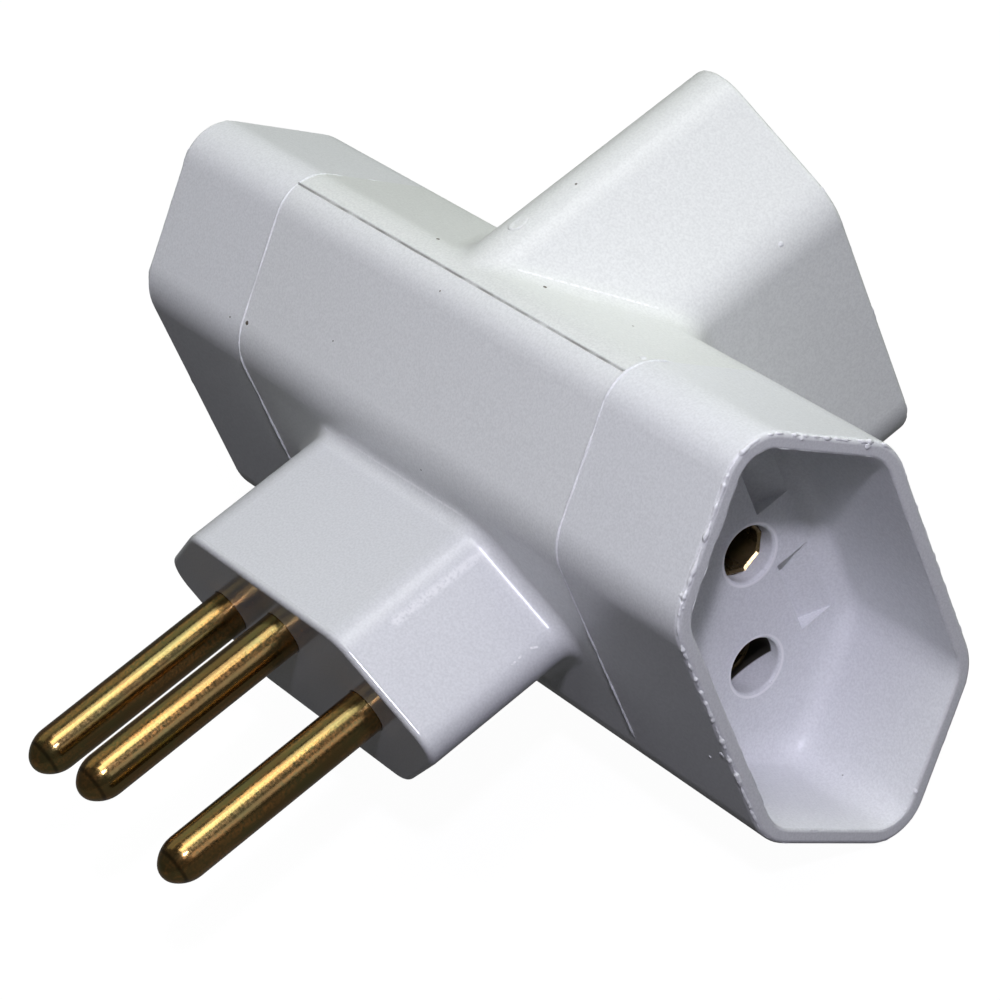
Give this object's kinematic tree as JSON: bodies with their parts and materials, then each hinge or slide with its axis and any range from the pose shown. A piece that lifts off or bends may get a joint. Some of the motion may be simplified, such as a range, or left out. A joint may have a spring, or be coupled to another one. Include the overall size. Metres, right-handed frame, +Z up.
{
  "type": "multi socket adapter",
  "caption": "White moulded mains adapter: a hexagonal bar with a socket at each end, a rear socket arm and a plug nose with round brass pins.",
  "frame": {"origin": "centre of the plug's face, midway between the line and neutral pins", "axes": "+X along the bar to the right socket, +Y from the plug to the rear socket, +Z up, towards the earth pin's offset"},
  "size_m": [0.071, 0.0719, 0.0408],
  "materials": {
    "white_plastic": "moulded, lightly glossy white",
    "pin_brass": "turned and lightly scuffed",
    "sheet_brass": "stamped sheet",
    "insulator": "plain moulded"
  },
  "bodies": {
    "root": {"front_shell": "white_plastic", "rear_shell": "white_plastic", "left_socket_cap": "white_plastic", "right_socket_cap": "white_plastic", "line_pin": "pin_brass", "neutral_pin": "pin_brass", "earth_pin": "pin_brass", "line_busbar": "sheet_brass", "neutral_busbar": "sheet_brass", "earth_busbar": "sheet_brass", "right_line_sleeve": "sheet_brass", "right_neutral_sleeve": "sheet_brass", "right_earth_sleeve": "sheet_brass", "left_line_sleeve": "sheet_brass", "left_neutral_sleeve": "sheet_brass", "left_earth_sleeve": "sheet_brass", "rear_line_sleeve": "sheet_brass", "rear_neutral_sleeve": "sheet_brass", "rear_earth_sleeve": "sheet_brass", "upper_separator": "insulator", "lower_separator": "insulator"}
  },
  "joints": []
}
